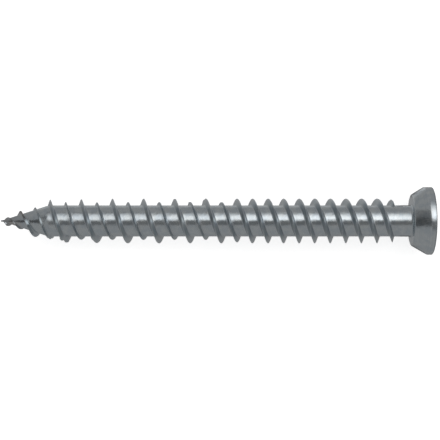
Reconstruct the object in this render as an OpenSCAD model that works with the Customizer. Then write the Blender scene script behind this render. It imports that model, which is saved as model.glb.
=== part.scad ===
// Countersunk frame screw, 7.5 x 72 mm, with a high and low thread and a six-lobe drive.
// It lies along X: its point is at the -X end, and the face of its head looks to +X.
// The origin is the centre of that face. Sizes are in millimetres, angles in degrees.

/* [Screw] */
// Length from the point to the face of the head
screw_len = 72; // [52:1:180]

/* [Head] */
// Diameter of the head
head_d = 11.3; // [10.2:0.1:14]
// Height of the straight rim around the face
rim_h = 1; // [0.6:0.1:2.5]
// Bevel between the rim and the face
rim_bevel = 0.15; // [0.05:0.05:0.4]
// Included angle of the countersunk cone
seat_angle = 60; // [50:5:90]
// Diameter of the flat shoulder under the cone
shoulder_d = 8.55; // [7.5:0.05:9.6]
// Radius of the shoulder's outer edge
shoulder_round = 0.3; // [0.1:0.05:0.4]

/* [Neck] */
// How far the plain neck stands proud of the thread's core
neck_step = 0.02; // [0.01:0.01:0.3]
// Length of the plain neck, from the shoulder to the end of the thread
neck_len = 2.9; // [1.5:0.1:12]
// Radius in the corner of the neck and the shoulder
neck_fillet = 0.4; // [0.1:0.05:0.6]

/* [Thread] */
// Diameter of the core between the ridges
core_d = 5.2; // [4.6:0.05:5.9]
// Diameter over the high ridge
high_d = 7.5; // [6.8:0.1:8.5]
// Diameter over the low ridge
low_d = 6.35; // [6:0.05:6.8]
// Advance of each ridge in one turn, with the two ridges half a turn apart
lead = 5.2; // [4.2:0.1:8]
// Included angle of a ridge
flank_angle = 34; // [28:1:50]
// Width of a ridge at its crest
crest_w = 0.06; // [0.04:0.02:0.3]
// Distance from the point at which the low ridge begins to grow
low_len = 37; // [24:1:40]
// Length over which the low ridge grows as high as the other
low_growth = 3.5; // [1:0.5:6]
// Length over which both ridges run out at the neck
runout_len = 0.7; // [0.5:0.1:4]
// Angle at which the high ridge sets out, from +Y towards +Z
start_angle = 145; // [0:1:359]
// Steps around one turn
turn_steps = 36; // [24:2:40]

/* [Point] */
// Included angle of the point
point_angle = 36; // [30:1:50]
// Length of the bare needle in front of the ridges
needle_len = 0.4; // [0.1:0.1:1.5]
// Length over which the ridges spring up behind the needle
needle_growth = 0.5; // [0.2:0.1:1.5]
// Share of its full height that a ridge has once it has sprung up
needle_share = 0.34; // [0.1:0.01:0.6]
// Share of its full height that a ridge has at the thick end of the point
point_share = 0.84; // [0.6:0.01:1]
// Distance from the point at which the ridges are fully high
lead_in_len = 20; // [12:1:24]
// How far the first turn is pushed back, which crowds the ridges at the point
crowding = 0.85; // [0:0.05:1]

/* [Drive] */
// Diameter across the lobes of the recess
drive_d = 5.6; // [5:0.05:6.2]
// Diameter across the flutes between the lobes
flute_d = 3.95; // [3.6:0.05:4.2]
// Radius of a lobe's round end
lobe_r = 0.45; // [0.35:0.01:0.55]
// Metal left between the end of the lobed walls and the shoulder
drive_floor = 0.85; // [0.6:0.05:1.2]
// Included angle of the cone at the bottom of the recess
drive_floor_angle = 150; // [130:5:170]
// Width of the shallow dish that runs around the lobes
dish_rim = 0.25; // [0.1:0.05:0.8]
// Included angle of the dish
dish_angle = 150; // [130:5:160]

/* [Hidden] */
$fn = 96;

// Places along the screw: x is measured from the head's face, and s from the point
cone_h = (head_d - shoulder_d) / 2 / tan(seat_angle / 2);
shoulder_x = -rim_h - cone_h;
thread_end = screw_len + shoulder_x - neck_len;
point_len = core_d / 2 / tan(point_angle / 2);
drive_depth = -shoulder_x - drive_floor;

// The threaded bar runs this far into the neck, and the neck starts halfway there
splice = 0.4;
bar_end = thread_end + splice;

// Each ridge gives four rows of points, and the gap behind it gives one more
ROWS_PER_RIDGE = 5;
RIDGES_PER_TURN = 2;
SEAM_SHIFT = ROWS_PER_RIDGE * RIDGES_PER_TURN;
first_ridge_s = -lead * (1 + start_angle / 360);
ridge_count = ceil((bar_end - first_ridge_s) / lead * RIDGES_PER_TURN) + 1;
row_count = ridge_count * ROWS_PER_RIDGE;

function limit(low, value, high) = max(low, min(value, high));
function arc(centre, r, from, to, steps) =
    [for (i = [0:steps]) let (a = from + (to - from) * i / steps) centre + r * [cos(a), sin(a)]];
function inner_points(points) = [for (i = [1:len(points) - 2]) points[i]];

function core_r(s) = min(core_d / 2, s * tan(point_angle / 2));

// Height of a ridge where its crest is a distance s from the point: even ridges are the high
// start and odd ones the low start, and both rise behind the needle and run out at the neck
function full_d(ridge, s) =
    ridge % 2 == 0 ? high_d : lookup(s, [[low_len, low_d], [low_len + low_growth, high_d]]);
function rise(s) = lookup(s, [
    [needle_len, 0],
    [needle_len + needle_growth, needle_share],
    [point_len, point_share],
    [lead_in_len, 1]
]);
function runout(s) = let (t = limit(0, (thread_end - s) / runout_len, 1)) sqrt(1 - (1 - t) ^ 2);
function ridge_h(ridge, s) = (full_d(ridge, s) - core_d) / 2 * min(rise(s), runout(s));
function foot(ridge, s) = crest_w / 2 + ridge_h(ridge, s) * tan(flank_angle / 2);
function ridge_s(ridge, step) =
    let (s = first_ridge_s + lead * (ridge / RIDGES_PER_TURN + step / turn_steps))
    s + crowding * max(0, 1 - s / point_len) ^ 3;

// Five places along the bar for one ridge, each with the height above the core: a foot, two
// crest corners, the other foot, and where the cone becomes the bar if the gap behind holds it
function ridge_rows(ridge, step) =
    let (
        s = ridge_s(ridge, step),
        next = ridge_s(ridge + 1, step),
        h = ridge_h(ridge, s),
        gap_from = s + foot(ridge, s),
        gap_to = next - foot(ridge + 1, next)
    )
    [
        [s - foot(ridge, s), 0],
        [s - crest_w / 2, h],
        [s + crest_w / 2, h],
        [gap_from, 0],
        [limit(gap_from, point_len, gap_to), 0]
    ];

function bar_point(row, angle) =
    let (
        s = limit(0, row[0], bar_end),
        r = core_r(s) + row[1]
    )
    [s - screw_len, r * cos(angle), r * sin(angle)];

// The core, the point and both ridges are one closed skin. Its grid runs around the axis in
// steps and along it in rows, and after a full turn each row meets the row one turn further on
module threaded_bar() {
    points = [
        for (step = [0:turn_steps - 1], ridge = [0:ridge_count - 1], row = ridge_rows(ridge, step))
            bar_point(row, step * 360 / turn_steps)
    ];
    at = function (step, row) step < turn_steps
        ? step * row_count + row
        : min(row + SEAM_SHIFT, row_count - 1);
    skin = [
        for (step = [0:turn_steps - 1], row = [0:row_count - 2])
            each [
                [at(step, row), at(step, row + 1), at(step + 1, row + 1)],
                [at(step, row), at(step + 1, row + 1), at(step + 1, row)]
            ]
    ];
    cap = [[for (step = [turn_steps - 1:-1:0]) at(step, row_count - 1)]];
    polyhedron(points, concat(skin, cap), convexity = 10);
}

// Turned outline of the head and the neck, as radius and height with the face at height 0
module head_and_neck() {
    neck_r = core_d / 2 + neck_step;
    shoulder_r = shoulder_d / 2;
    edge = shoulder_round * tan((90 - seat_angle / 2) / 2);
    outline = concat(
        [[0, 0], [head_d / 2 - rim_bevel, 0], [head_d / 2, -rim_bevel], [head_d / 2, -rim_h]],
        arc([shoulder_r - edge, shoulder_x + shoulder_round], shoulder_round, -seat_angle / 2, -90, 4),
        arc([neck_r + neck_fillet, shoulder_x - neck_fillet], neck_fillet, 90, 180, 5),
        [[neck_r, shoulder_x - neck_len + splice / 2], [0, shoulder_x - neck_len + splice / 2]]
    );
    rotate([0, 90, 0])
        rotate_extrude()
            polygon(outline);
}

// Six-lobed outline of the recess: each lobe's arc runs tangent into the flute's arc beside it
module drive_outline() {
    lobe_at = drive_d / 2 - lobe_r;
    root_r = flute_d / 2;
    flute_r = (lobe_r ^ 2 - lobe_at ^ 2 - root_r ^ 2 + 2 * lobe_at * root_r * cos(30))
        / (2 * (root_r - lobe_at * cos(30) - lobe_r));
    flute_at = root_r + flute_r;
    meet = atan2(flute_at * sin(30), flute_at * cos(30) - lobe_at);
    polygon([
        for (turn = [0:60:300]) each concat(
            arc(lobe_at * [cos(turn), sin(turn)], lobe_r, turn - meet, turn + meet, 6),
            inner_points(arc(
                flute_at * [cos(turn + 30), sin(turn + 30)], flute_r, turn + 180 + meet, turn + 240 - meet, 6
            ))
        )
    ]);
}

// The recess narrows to a cone at its floor, and a shallow dish leads the driver in
module drive_recess() {
    floor_h = drive_d / 2 / tan(drive_floor_angle / 2);
    dish_r = drive_d / 2 + dish_rim;
    dish_h = dish_r / tan(dish_angle / 2);
    clear = 1;
    rotate([0, -90, 0]) {
        intersection() {
            translate([0, 0, -clear])
                linear_extrude(clear + drive_depth + floor_h)
                    drive_outline();
            rotate_extrude()
                polygon([
                    [0, -clear], [drive_d, -clear], [drive_d, drive_depth - floor_h],
                    [0, drive_depth + floor_h]
                ]);
        }
        rotate_extrude()
            polygon([[0, -clear], [dish_r, -clear], [dish_r, 0], [0, dish_h]]);
    }
}

module screw() {
    color([0.60, 0.62, 0.64]) {
        threaded_bar();
        difference() {
            head_and_neck();
            drive_recess();
        }
    }
}

screw();
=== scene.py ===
from math import atan2, cos, degrees, exp, hypot, pi, radians, sin, sqrt, tan

import bmesh
import bpy
from mathutils import Matrix, Vector, noise


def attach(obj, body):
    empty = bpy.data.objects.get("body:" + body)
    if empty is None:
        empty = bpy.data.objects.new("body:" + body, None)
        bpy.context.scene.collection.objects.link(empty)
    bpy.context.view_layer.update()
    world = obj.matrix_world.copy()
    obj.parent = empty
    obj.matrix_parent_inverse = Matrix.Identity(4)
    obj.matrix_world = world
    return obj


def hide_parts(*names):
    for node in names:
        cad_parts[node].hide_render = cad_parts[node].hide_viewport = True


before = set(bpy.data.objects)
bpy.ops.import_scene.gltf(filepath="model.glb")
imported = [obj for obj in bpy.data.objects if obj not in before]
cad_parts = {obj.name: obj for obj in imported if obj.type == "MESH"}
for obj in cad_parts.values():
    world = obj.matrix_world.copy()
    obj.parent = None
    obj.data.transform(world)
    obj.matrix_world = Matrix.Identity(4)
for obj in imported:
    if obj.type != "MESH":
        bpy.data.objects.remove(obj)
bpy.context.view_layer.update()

# The threaded bar: steel wire, rolled between two dies that raise a high and a low ridge half a
# turn apart. The meridian outline of all the ridges is spun along the helix, then the point is
# tapered and each ridge is brought to its height.
MM = 0.001
SCREW_LEN = 72 * MM
CORE_R = 2.6 * MM
HIGH_H = 1.15 * MM
LOW_H = 0.575 * MM
LEAD = 5.2 * MM
FLANK_SLOPE = tan(radians(17))
CREST_HALF = 0.03 * MM
START_ANGLE = 145
CROWDING = 0.7 * MM
THREAD_END = 65.718 * MM
BAR_END = THREAD_END + 0.2 * MM
RUNOUT_LEN = 0.7 * MM
TURN_STEPS = 120
MERGE_DIST = 0.0005 * MM

# The point: a cone of 36 degrees that blends into the bar, behind a blunt needle
POINT_SLOPE = tan(radians(18))
POINT_LEN = 8 * MM
POINT_BLEND = 0.25 * MM
NEEDLE_R = 0.12 * MM
NEEDLE_ROUND = 0.15 * MM

# Heights by the distance from the point: of the low ridge, and the share that both ridges have
LOW_GROWTH = [(37 * MM, LOW_H), (40.5 * MM, HIGH_H)]
RISE = [(0.4 * MM, 0), (0.9 * MM, 0.4), (POINT_LEN, 0.84), (20 * MM, 1)]

# Half of a ridge, from its crest to its foot: place in half widths of the ridge, and height share.
# A half width is WIDTH_UNIT until the ridge has its height. The gap rows lie between two ridges.
RIDGE_HALF = [
    (0.07, 0.985), (0.15, 0.93), (0.5, 0.535), (0.82, 0.195), (0.98, 0.065), (1.14, 0.012), (1.36, 0)
]
RIDGE_ROWS = [(-place, share) for place, share in reversed(RIDGE_HALF)] + [(0, 1)] + RIDGE_HALF
GAP_ROWS = [0.85 * MM, 1.3 * MM, 1.75 * MM]
WIDTH_UNIT = 0.38 * MM

# The crests waver a little, up and down and along the bar, and more slowly along it
LIFT_RANGE = 0.012 * MM
LIFT_WAVE = 0.7 * MM
LIFT_FULL_H = 0.3 * MM
PUSH_RANGE = 0.02 * MM
PUSH_WAVE = 1.1 * MM

# Marks of the dies and of wear on the crests: low ridge or not, distance from the point, length,
# how much the crest stands up, and how far it is pushed towards the head
CREST_MARKS = [
    (0, 7.9 * MM, 0.30 * MM, 0.07 * MM, 0), (1, 10.7 * MM, 0.30 * MM, 0.10 * MM, 0),
    (1, 8.15 * MM, 0.10 * MM, -0.10 * MM, -0.08 * MM), (1, 8.45 * MM, 0.08 * MM, -0.12 * MM, 0),
    (0, 10.36 * MM, 0.13 * MM, 0.28 * MM, -0.08 * MM), (0, 10.66 * MM, 0.08 * MM, -0.28 * MM, 0),
    (0, 11.02 * MM, 0.22 * MM, 0, 0.18 * MM), (0, 15.5 * MM, 0.12 * MM, 0.22 * MM, -0.05 * MM),
    (0, 29.1 * MM, 0.06 * MM, -0.16 * MM, 0), (0, 33.9 * MM, 0.10 * MM, 0.18 * MM, -0.06 * MM),
    (1, 31.5 * MM, 0.08 * MM, 0.12 * MM, -0.06 * MM), (1, 36.95 * MM, 0.05 * MM, -0.12 * MM, 0),
    (0, 65.45 * MM, 0.12 * MM, 0.08 * MM, -0.1 * MM), (1, 65.5 * MM, 0.1 * MM, 0.05 * MM, 0)
]


def between(value, rows):
    """Straight lines between the rows of a table, and level beyond its ends."""
    if value <= rows[0][0]:
        return rows[0][1]
    for (x0, y0), (x1, y1) in zip(rows, rows[1:]):
        if value <= x1:
            return y0 + (y1 - y0) * (value - x0) / (x1 - x0)
    return rows[-1][1]


def core_radius(s):
    """Radius between the ridges at a distance s from the point."""
    cone = s * POINT_SLOPE
    blend = max(0, POINT_BLEND - abs(cone - CORE_R)) / POINT_BLEND
    needle = NEEDLE_R * sqrt(min(1, max(0, s) / NEEDLE_ROUND))
    return max(needle, min(cone, CORE_R) - blend ** 3 * POINT_BLEND / 6)


def ridge_height(low, s):
    full = between(s, LOW_GROWTH) if low else HIGH_H
    left = min(1, max(0, (THREAD_END - s) / RUNOUT_LEN))
    return full * min(between(s, RISE), sqrt(1 - (1 - left) ** 2))


# Each vertex knows its place on its ridge, its share of the height, whether the ridge is the low
# one, and which ring of the head it belongs to
screw = bmesh.new()
place_layer = screw.verts.layers.float.new("place")
share_layer = screw.verts.layers.float.new("share")
low_layer = screw.verts.layers.int.new("low")
ring_layer = screw.verts.layers.int.new("ring")

first_s = -LEAD * (1 + START_ANGLE / 360)
line = []
for ridge in range(int((BAR_END - first_s) / LEAD * 2) + 2):
    rows = [(place, share, 0) for place, share in RIDGE_ROWS] + [(0, 0, gap) for gap in GAP_ROWS]
    for place, share, gap in rows:
        s = first_s + LEAD * ridge / 2 + place * WIDTH_UNIT + gap
        vert = screw.verts.new((s, CORE_R, 0))
        vert[place_layer], vert[share_layer] = place, share
        vert[low_layer] = ridge % 2
        line.append(vert)
edges = [screw.edges.new(pair) for pair in zip(line, line[1:])]
bmesh.ops.spin(screw, geom=line + edges, cent=(0, 0, 0), axis=(1, 0, 0), dvec=(LEAD / TURN_STEPS, 0, 0),
               angle=2 * pi, steps=TURN_STEPS, use_merge=False)

for vert in screw.verts:
    angle = atan2(vert.co.z, vert.co.y)
    crest_s = vert.co.x - vert[place_layer] * WIDTH_UNIT
    share = vert[share_layer]
    lift = LIFT_RANGE * noise.noise(Vector((crest_s / LIFT_WAVE, vert[low_layer] * 9, 0)))
    push = PUSH_RANGE * noise.noise(Vector((crest_s / PUSH_WAVE, vert[low_layer] * 9, 5)))
    for low, mark_s, length, up, along in CREST_MARKS:
        if low == vert[low_layer] and abs(crest_s - mark_s) < 3 * length:
            nearness = exp(-((crest_s - mark_s) / length) ** 2)
            lift += up * nearness
            push += along * nearness
    crest_s += CROWDING * max(0, 1 - crest_s / POINT_LEN) ** 3
    height = ridge_height(vert[low_layer], crest_s)
    s = crest_s + vert[place_layer] * (CREST_HALF + height * FLANK_SLOPE) + push * share
    s = min(BAR_END, max(0, s))
    radius = core_radius(s)
    if 0 < s < BAR_END:
        radius += share * (height + lift * min(1, height / LIFT_FULL_H))
    vert.co = (s - SCREW_LEN, radius * cos(angle), radius * sin(angle))
bmesh.ops.remove_doubles(screw, verts=screw.verts, dist=MERGE_DIST)

# The head and the neck: upset from the same wire in a cold-forging die, and the six-lobe recess
# pressed in by a punch. The outline is spun around the axis, the recess's rings are brought to
# the six lobes, and the edges are rounded.
HEAD_R = 5.65 * MM
FACE_X = 0.065 * MM
RIM_X = -1 * MM
CONE_SLOPE = tan(radians(30))
SHOULDER_R = 4.275 * MM
SHOULDER_X = -3.382 * MM
NECK_R = 2.62 * MM
NECK_X = -5.8 * MM
DISH_R = 3.05 * MM
RECESS_R = 2.8 * MM
RECESS_DEPTH = 2.532 * MM
DISH_SLOPE = tan(radians(15))
RIM_RING, SHOULDER_RING, NECK_RING, FACE_RING, MOUTH_RING, FOOT_RING, FLOOR_RING = range(1, 8)
outline = [
    (BAR_END - SCREW_LEN, CORE_R, 0), (NECK_X, NECK_R, 0), (SHOULDER_X, NECK_R, NECK_RING),
    (SHOULDER_X, SHOULDER_R, SHOULDER_RING), (RIM_X, HEAD_R, RIM_RING),
    (FACE_X, HEAD_R, FACE_RING), (FACE_X, DISH_R, 0), (FACE_X, RECESS_R, MOUTH_RING),
    (-RECESS_DEPTH, RECESS_R, FOOT_RING), (-RECESS_DEPTH, RECESS_R / 2, FLOOR_RING),
    (-RECESS_DEPTH - RECESS_R * DISH_SLOPE, 0, 0)
]
line = []
for x, radius, ring in outline:
    vert = screw.verts.new((x, radius, 0))
    vert[ring_layer] = ring
    line.append(vert)
edges = [screw.edges.new(pair) for pair in zip(line, line[1:])]
bmesh.ops.spin(screw, geom=line + edges, cent=(0, 0, 0), axis=(1, 0, 0), angle=2 * pi, steps=TURN_STEPS,
               use_merge=True)

# Each lobe is an arc of 0.45 mm, and runs tangent into the arc of the flute beside it
LOBE_R = 0.45 * MM
LOBE_AT = RECESS_R - LOBE_R
FLUTE_R = 1.158 * MM
FLUTE_INNER_R = 1.975 * MM
FLUTE_AT = FLUTE_INNER_R + FLUTE_R
meet = atan2(FLUTE_AT * 0.5, FLUTE_AT * cos(radians(30)) - LOBE_AT)


def lobe_point(turn):
    """The recess's outline at -30 to 30 degrees from a lobe's middle: outwards and sideways."""
    side = 1 if turn >= 0 else -1
    if abs(turn) <= 15:
        at = meet * abs(turn) / 15
        return LOBE_AT + LOBE_R * cos(at), side * LOBE_R * sin(at)
    at = radians(210) + (meet - radians(30)) * (30 - abs(turn)) / 15
    out = FLUTE_AT * cos(radians(30)) + FLUTE_R * cos(at)
    return out, side * (FLUTE_AT * 0.5 + FLUTE_R * sin(at))


for vert in screw.verts:
    if vert[ring_layer] in (MOUTH_RING, FOOT_RING, FLOOR_RING):
        turn = round(degrees(atan2(vert.co.z, vert.co.y))) % 360
        lobe = round((turn - 90) / 60) * 60 + 90
        out, sideways = lobe_point(turn - lobe)
        if vert[ring_layer] == FLOOR_RING:
            out, sideways = out / 2, sideways / 2
        radius = hypot(out, sideways)
        if vert[ring_layer] == MOUTH_RING:
            vert.co.x = FACE_X + (radius - DISH_R) * DISH_SLOPE
        else:
            vert.co.x = -RECESS_DEPTH - (RECESS_R - radius) * DISH_SLOPE
        lobe = radians(lobe)
        vert.co.y = out * cos(lobe) - sideways * sin(lobe)
        vert.co.z = out * sin(lobe) + sideways * cos(lobe)

# The cone was forged a little off the rim's centre, so the rim is higher on one side. The offset
# is larger at the rim than at the shoulder, and the cone is a little wider at its underside.
CONE_OFF_Y = 0.145 * MM
CONE_OFF_Z = -0.087 * MM
RIM_OFF_SHARE = 1.2
RIM_DRAW = 0.04 * MM
for vert in screw.verts:
    if vert[ring_layer] in (RIM_RING, SHOULDER_RING):
        radius = hypot(vert.co.y, vert.co.z)
        off = (CONE_OFF_Y * vert.co.y + CONE_OFF_Z * vert.co.z) / radius
        if vert[ring_layer] == RIM_RING:
            vert.co.x -= (RIM_OFF_SHARE * off + RIM_DRAW * (1 - vert.co.z / radius)) / CONE_SLOPE
        else:
            vert.co.y *= (radius + off) / radius
            vert.co.z *= (radius + off) / radius

# The edges are rounded one ring after the other: width and segments of each bevel. A new vertex
# inherits a mix of the rings around it, so it is taken off them.
EDGE_ROUNDS = [
    (RIM_RING, 0.1 * MM, 3), (FACE_RING, 0.15 * MM, 3), (SHOULDER_RING, 0.17 * MM, 4),
    (NECK_RING, 0.4 * MM, 5), (MOUTH_RING, 0.05 * MM, 2)
]
for ring, width, segments in EDGE_ROUNDS:
    edges = [edge for edge in screw.edges if all(vert[ring_layer] == ring for vert in edge.verts)]
    rounded = bmesh.ops.bevel(screw, geom=edges, offset=width, offset_type="OFFSET", affect="EDGES",
                              segments=segments, profile=0.5, material=-1)
    for vert in rounded["verts"]:
        vert[ring_layer] = 0

bmesh.ops.remove_doubles(screw, verts=screw.verts, dist=MERGE_DIST)
bmesh.ops.recalc_face_normals(screw, faces=screw.faces)

mesh = bpy.data.meshes.new("frame_screw")
screw.to_mesh(mesh)
screw.free()
for layer in ("place", "share", "low", "ring"):
    mesh.attributes.remove(mesh.attributes[layer])
mesh.shade_smooth()
mesh.set_sharp_from_angle(angle=radians(38))
frame_screw = bpy.data.objects.new("frame_screw", mesh)
bpy.context.scene.collection.objects.link(frame_screw)

# The finish: bright zinc plated over the steel, a bluish grey with a faint mottle, waviness from
# the forging and rolling, and die marks that run along the helix. The flanks and roots are matte,
# the ridges' feet a little darker, the crests and the rim are rubbed, and the point has a warm
# stain. Shade is painted on the recess floor, partly over its darker zinc, along the rim's edge by
# the face, and on the +Y side of the point's first crests.
ZINC_BLUE = (0.49, 0.538, 0.573, 1)
ZINC_PALE = (0.56, 0.596, 0.612, 1)
DIE_LINE = (0.42, 0.45, 0.475, 1)
DARK_GRAIN = (0.36, 0.37, 0.38, 1)
# A darker tint for the ridges' feet
DARKER_FOOT = (0.33, 0.345, 0.36, 1)
RUBBED_ZINC = (0.62, 0.65, 0.665, 1)
# Painted shade for the recess floor, partly its darker zinc
RECESS_SHADE_AND_DARK_ZINC = (0.27, 0.28, 0.29, 1)
# Painted shade for the rim's edge next to the face
RIM_EDGE_SHADE = (0.33, 0.35, 0.365, 1)
WARM_POINT = (0.36, 0.33, 0.315, 1)
# Painted shade for the +Y side of the point's first crests
PAINTED_CREST_SHADE = (0.2, 0.185, 0.175, 1)

zinc = bpy.data.materials.new("zinc_plated_steel")
zinc.use_nodes = True
metal = zinc.node_tree
shader = metal.nodes["Principled BSDF"]
shader.inputs["Metallic"].default_value = 1
mesh.materials.append(zinc)


def give(socket, value):
    """Links another node's socket to this one, or sets its number, vector or colour."""
    if isinstance(value, bpy.types.NodeSocket):
        socket.id_data.links.new(value, socket)
    else:
        socket.default_value = value


def feed(node, *values):
    for socket, value in zip(node.inputs, values):
        give(socket, value)
    return node.outputs[0]


def reckon(tree, operation, *values):
    node = tree.nodes.new("ShaderNodeMath")
    node.operation = operation
    return feed(node, *values)


def calc(operation, *values):
    return reckon(metal, operation, *values)


def ease(value, start, end, low=0.0, high=1.0):
    """From low to high, with soft ends, while the value goes from start to end."""
    node = metal.nodes.new("ShaderNodeMapRange")
    node.interpolation_type = "SMOOTHSTEP"
    return feed(node, value, start, end, low, high)


def speckle(vector, scale, detail):
    node = metal.nodes.new("ShaderNodeTexNoise")
    give(node.inputs["Vector"], vector)
    give(node.inputs["Scale"], scale)
    give(node.inputs["Detail"], detail)
    return node.outputs[0]


def tint(share, below, colour):
    """Blends a colour over another one, or over a socket's colour."""
    node = metal.nodes.new("ShaderNodeMix")
    node.data_type = "RGBA"
    give(node.inputs[0], share)
    give(node.inputs[6], below)
    give(node.inputs[7], colour)
    return node.outputs[2]


def joined(x, y, z):
    return feed(metal.nodes.new("ShaderNodeCombineXYZ"), x, y, z)


# Places on the metal in millimetres, its distance from the axis, and its turn along the helix
spot = metal.nodes.new("ShaderNodeVectorMath")
spot.operation = "SCALE"
give(spot.inputs["Scale"], 1 / MM)
spot = feed(spot, metal.nodes.new("ShaderNodeTexCoord").outputs["Object"])
axes = metal.nodes.new("ShaderNodeSeparateXYZ")
feed(axes, spot)
x, y, z = axes.outputs
out = calc("SQRT", calc("ADD", calc("MULTIPLY", y, y), calc("MULTIPLY", z, z)))
crest_x = calc("MULTIPLY_ADD", calc("ARCTAN2", z, y), LEAD / MM / (2 * pi), (first_s - SCREW_LEN) / MM)
phase = calc("MULTIPLY", calc("SUBTRACT", x, crest_x), 2 * pi * MM / LEAD)
helix = joined(calc("MULTIPLY", calc("COSINE", phase), 3.0), calc("MULTIPLY", calc("SINE", phase), 3.0),
               calc("MULTIPLY", out, 2.0))
nearness = calc("COSINE", calc("MULTIPLY", phase, 2.0))

# Where each kind of wear lies, and where shade is painted. A ridge's foot is where the nearness to a
# crest is about 0.5, and
# there are feet and flanks only between the point and the neck.
NECK_START = (-6.4, -6.2)
on_bar = calc("MULTIPLY", ease(x, -66.0, -63.5), ease(x, *NECK_START, 1.0, 0.0))
foot = calc("MULTIPLY", ease(nearness, 0.05, 0.45), ease(nearness, 0.55, 0.9, 1.0, 0.0))
foot = calc("MULTIPLY", calc("MULTIPLY", foot, on_bar), ease(out, 2.72, 3.0, 1.0, 0.0))
flank = calc("MULTIPLY", ease(nearness, 0.5, 0.8), ease(out, 2.65, 2.8))
flank = calc("MULTIPLY", flank, on_bar)
crest = calc("MULTIPLY", ease(out, 3.3, 3.7), ease(x, -6.0, -5.8, 1.0, 0.0))
edge = calc("MULTIPLY", ease(out, 5.45, 5.6), ease(x, -0.9, -0.7, 1.0, 0.0))
# Painted shade: a darker line along the rim's edge next to the face
shaded_rim_edge = calc("MULTIPLY", ease(out, 5.3, 5.5), ease(x, -0.22, -0.1))
point = ease(x, -66.5, -71.5)
# The recess floor, where shade is painted over its darker, rougher zinc
recess = calc("MULTIPLY", ease(x, -3.36, -3.3), ease(x, -2.6, -2.2, 1.0, 0.0))
recess = calc("MULTIPLY", recess, ease(out, 2.75, 2.9, 1.0, 0.0))
# Painted shade: the upper parts of the ridges near the point, on the +Y side only
shaded_point_crests = calc("SUBTRACT", out, calc("MULTIPLY_ADD", x, POINT_SLOPE, SCREW_LEN / MM * POINT_SLOPE))
shaded_point_crests = calc("MULTIPLY", ease(shaded_point_crests, 0.12, 0.42), ease(x, -65.0, -67.5))
shaded_point_crests = calc("MULTIPLY", shaded_point_crests, ease(y, 0.0, 0.5))

# The metal's own patterns: cloudy mottle, fine grain, and lines left by the dies and the forging
mottle = speckle(spot, 0.9, 4.0)
grain = speckle(spot, 11.0, 3.0)
lines = speckle(helix, 2.6, 2.0)
turned = joined(calc("MULTIPLY", x, 9.0), calc("MULTIPLY", out, 9.0), calc("MULTIPLY", y, 0.15))
turned = speckle(turned, 1.0, 2.0)
lines = calc("ADD", calc("MULTIPLY", lines, on_bar), calc("MULTIPLY", turned, ease(x, *NECK_START)))

colour = tint(ease(mottle, 0.36, 0.64), ZINC_BLUE, ZINC_PALE)
colour = tint(calc("MULTIPLY", ease(lines, 0.5, 0.75), 0.3), colour, DIE_LINE)
colour = tint(calc("MULTIPLY", ease(grain, 0.6, 0.72), 0.25), colour, DARK_GRAIN)
# The ridges' feet are tinted a little darker
colour = tint(calc("MULTIPLY", foot, 0.2), colour, DARKER_FOOT)
rubbed = calc("MULTIPLY", calc("ADD", crest, edge), ease(mottle, 0.4, 0.6, 0.2, 0.7))
colour = tint(rubbed, colour, RUBBED_ZINC)
# Painted shade on the recess floor, partly over its darker zinc
colour = tint(calc("MULTIPLY", recess, ease(grain, 0.35, 0.65, 0.4, 0.65)), colour, RECESS_SHADE_AND_DARK_ZINC)
# Painted shade along the rim's edge next to the face
colour = tint(calc("MULTIPLY", shaded_rim_edge, 0.75), colour, RIM_EDGE_SHADE)
colour = tint(calc("MULTIPLY", point, ease(mottle, 0.35, 0.6, 0.35, 0.75)), colour, WARM_POINT)
# Painted shade on the +Y side of the point's first crests
colour = tint(calc("MULTIPLY", shaded_point_crests, ease(mottle, 0.35, 0.55, 0.5, 0.9)), colour, PAINTED_CREST_SHADE)
give(shader.inputs["Base Color"], colour)

rough = calc("MULTIPLY_ADD", grain, 0.1, 0.15)
rough = calc("MULTIPLY_ADD", foot, 0.12, rough)
rough = calc("MULTIPLY_ADD", flank, 0.1, rough)
rough = calc("MULTIPLY_ADD", recess, 0.05, rough)
rough = calc("MULTIPLY_ADD", ease(mottle, 0.4, 0.7), 0.04, rough)
give(shader.inputs["Roughness"], rough)

waves = calc("MULTIPLY", speckle(spot, 1.3, 1.0), ease(x, *NECK_START, 0.04, 0.02))
relief = calc("MULTIPLY_ADD", lines, 0.003, waves)
relief = calc("MULTIPLY_ADD", grain, 0.0012, relief)
bump = metal.nodes.new("ShaderNodeBump")
give(bump.inputs["Distance"], MM)
give(bump.inputs["Height"], relief)
give(shader.inputs["Normal"], bump.outputs["Normal"])

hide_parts("screw")
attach(frame_screw, "root")

# The floor: a pale board under the head's rim. It and the room around it show white, and it
# keeps the screw's soft shadow.
FLOOR_Z = -5.65 * MM
BOARD_REACH = 3
BOARD_GLOW = 0.66
board = bmesh.new()
bmesh.ops.create_grid(board, x_segments=1, y_segments=1, size=BOARD_REACH,
                      matrix=Matrix.Translation((0, 0, FLOOR_Z)))
mesh = bpy.data.meshes.new("floor")
board.to_mesh(mesh)
board.free()
floor = bpy.data.objects.new("floor", mesh)
bpy.context.scene.collection.objects.link(floor)


def seen_directly(tree):
    """A socket that is 1 for camera, glossy and transmission rays, and 0 for the others."""
    path = tree.nodes.new("ShaderNodeLightPath")
    total = reckon(tree, "ADD", path.outputs["Is Camera Ray"], path.outputs["Is Glossy Ray"])
    total = reckon(tree, "ADD", total, path.outputs["Is Transmission Ray"])
    total.node.use_clamp = True
    return total


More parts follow.
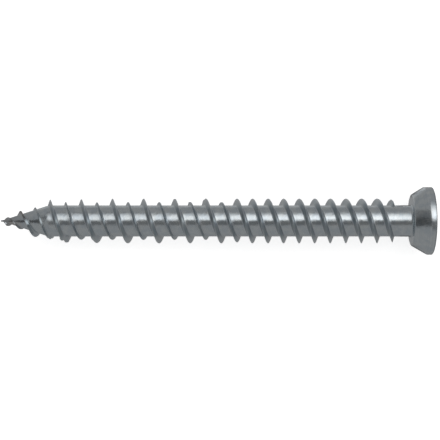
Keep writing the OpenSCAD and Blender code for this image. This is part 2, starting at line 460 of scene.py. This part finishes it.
paint = bpy.data.materials.new("pale_board")
paint.use_nodes = True
tree = paint.node_tree
shader = tree.nodes["Principled BSDF"]
shader.inputs["Base Color"].default_value = (0.8, 0.8, 0.8, 1)
shader.inputs["Roughness"].default_value = 0.9
shader.inputs["Specular IOR Level"].default_value = 0
shader.inputs["Emission Color"].default_value = (1, 1, 1, 1)
give(shader.inputs["Emission Strength"], reckon(tree, "MULTIPLY", seen_directly(tree), BOARD_GLOW))
mesh.materials.append(paint)

# The studio: a softbox above the screw's far side, a dark hood around the lens, two dark cards
# beyond the point, narrow strips close to the floor, and grey walls. The metal mirrors them, the
# camera doesn't see them, and only the softbox lights the floor.


def emitter(mesh, radiance, lights_floor=False):
    """A card or wall that glows evenly, for reflections only unless it lights the floor."""
    card = bpy.data.objects.new(mesh.name, mesh)
    bpy.context.scene.collection.objects.link(card)
    card.visible_camera = False
    card.visible_shadow = False
    card.visible_transmission = False
    card.visible_diffuse = lights_floor
    glow = bpy.data.materials.new(mesh.name)
    glow.use_nodes = True
    tree = glow.node_tree
    tree.nodes.remove(tree.nodes["Principled BSDF"])
    emission = tree.nodes.new("ShaderNodeEmission")
    give(emission.inputs["Strength"], radiance)
    give(tree.nodes["Material Output"].inputs["Surface"], emission.outputs[0])
    mesh.materials.append(glow)
    return tree, emission


def sheet(name, corners):
    face = bmesh.new()
    bmesh.ops.contextual_create(face, geom=[face.verts.new(corner) for corner in corners])
    mesh = bpy.data.meshes.new(name)
    face.to_mesh(mesh)
    face.free()
    return mesh


def overhead(name, distance, from_x, to_x, from_lean, to_lean):
    """A flat card above the screw, between two leans towards +Y from straight up, in degrees."""
    corners = []
    for x, lean in ((from_x, from_lean), (to_x, from_lean), (to_x, to_lean), (from_x, to_lean)):
        corners.append((x, distance * sin(radians(lean)), distance * cos(radians(lean))))
    return sheet(name, corners)


def spread(tree, value, start, end, low, high):
    """A level that goes evenly from low to high while the value goes from start to end."""
    return feed(tree.nodes.new("ShaderNodeMapRange"), value, start, end, low, high)


# The softbox is brighter over the head than over the point, and fades out beyond the head. Across
# the screw its light rises fast and falls off slowly.
SOFTBOX_AT = 0.6
SOFTBOX_LEAN = 70
FALL_OFF = [
    (0.03, 0.27), (0.12, 0.52), (0.22, 1), (0.36, 1), (0.5, 0.82), (0.6, 0.66), (0.7, 0.47), (0.8, 0.33),
    (0.95, 0.22)
]
softbox = overhead("softbox", SOFTBOX_AT, -0.32, 0.9, 0, SOFTBOX_LEAN)
tree, emission = emitter(softbox, 1, True)
axes = tree.nodes.new("ShaderNodeSeparateXYZ")
feed(axes, tree.nodes.new("ShaderNodeTexCoord").outputs["Object"])
along = spread(tree, axes.outputs["X"], -0.22, 0.13, 0.93, 1.93)
fading = spread(tree, axes.outputs["X"], 0.16, 0.36, 1, 0.7)
across = spread(tree, axes.outputs["Y"], 0, SOFTBOX_AT * sin(radians(SOFTBOX_LEAN)), 0, 1)
ramp = tree.nodes.new("ShaderNodeValToRGB")
while len(ramp.color_ramp.elements) < len(FALL_OFF):
    ramp.color_ramp.elements.new(0.5)
for element, (at, level) in zip(ramp.color_ramp.elements, FALL_OFF):
    element.position = at
    element.color = (level, level, level, 1)
give(emission.inputs["Color"], feed(ramp, across))
give(emission.inputs["Strength"], reckon(tree, "MULTIPLY", along, fading))

emitter(overhead("lens_hood", 0.25, -0.15, 0.1, -30, 0), 0.172)
dark = [(-0.8, -0.34, 0.28), (-0.8, 0.15, 0.28), (-0.8, 0.15, 0.95), (-0.8, -0.34, 0.95)]
emitter(sheet("dark_card", dark), 0.08)
flag = [(-0.12, 0.02, 0.06), (-0.12, 0.085, 0.05), (-0.12, 0.085, 0.13), (-0.12, 0.02, 0.15)]
emitter(sheet("dark_flag", flag), 0.17)

# The strips: name, reach in x and in y and height over the floor in millimetres, and radiance
STRIPS = [
    ("near_shade", -80, 2, -14, -3, 0.04, 0.32),
    ("near_light", -70, -5, 5, 14, 0.04, 0.52),
    ("far_edge", -4.5, 2, 4.2, 7.8, 0.06, 0.13),
    ("near_edge", -4.5, 2, -7.8, -4.2, 0.06, 0.13),
    ("near_glow", -4, -1.2, 7.9, 13, 0.04, 0.6)
]
for name, from_x, to_x, from_y, to_y, height, radiance in STRIPS:
    corners = [(from_x, from_y), (to_x, from_y), (to_x, to_y), (from_x, to_y)]
    corners = [(x * MM, y * MM, FLOOR_Z + height * MM) for x, y in corners]
    emitter(sheet(name, corners), radiance)

# The grey walls are a dome whose bottom lies flat on the floor, below the strips
WALLS_R = 1.5
shell = bmesh.new()
bmesh.ops.create_uvsphere(shell, u_segments=48, v_segments=24, radius=WALLS_R)
for vert in shell.verts:
    vert.co.z = max(vert.co.z, FLOOR_Z + 0.02 * MM)
bmesh.ops.remove_doubles(shell, verts=shell.verts, dist=0.01 * MM)
mesh = bpy.data.meshes.new("grey_walls")
shell.to_mesh(mesh)
shell.free()
emitter(mesh, 0.35)

world = bpy.data.worlds.new("studio")
bpy.context.scene.world = world
world.use_nodes = True
tree = world.node_tree
background = tree.nodes["Background"]
background.inputs["Color"].default_value = (1, 1, 1, 1)
give(background.inputs["Strength"], spread(tree, seen_directly(tree), 0, 1, 0.5, 1))

# The camera looks straight down on the lying screw from 207 mm above its axis, through a lens that
# frames the whole screw.
camera = bpy.data.cameras.new("camera")
camera.sensor_width = 36
camera.lens = 101.5
camera.clip_start = 0.01
view = bpy.data.objects.new("camera", camera)
view.location = (-0.03533, 0.00016, 0.2073)
bpy.context.scene.collection.objects.link(view)
bpy.context.scene.camera = view
bpy.context.scene.view_settings.view_transform = "Standard"
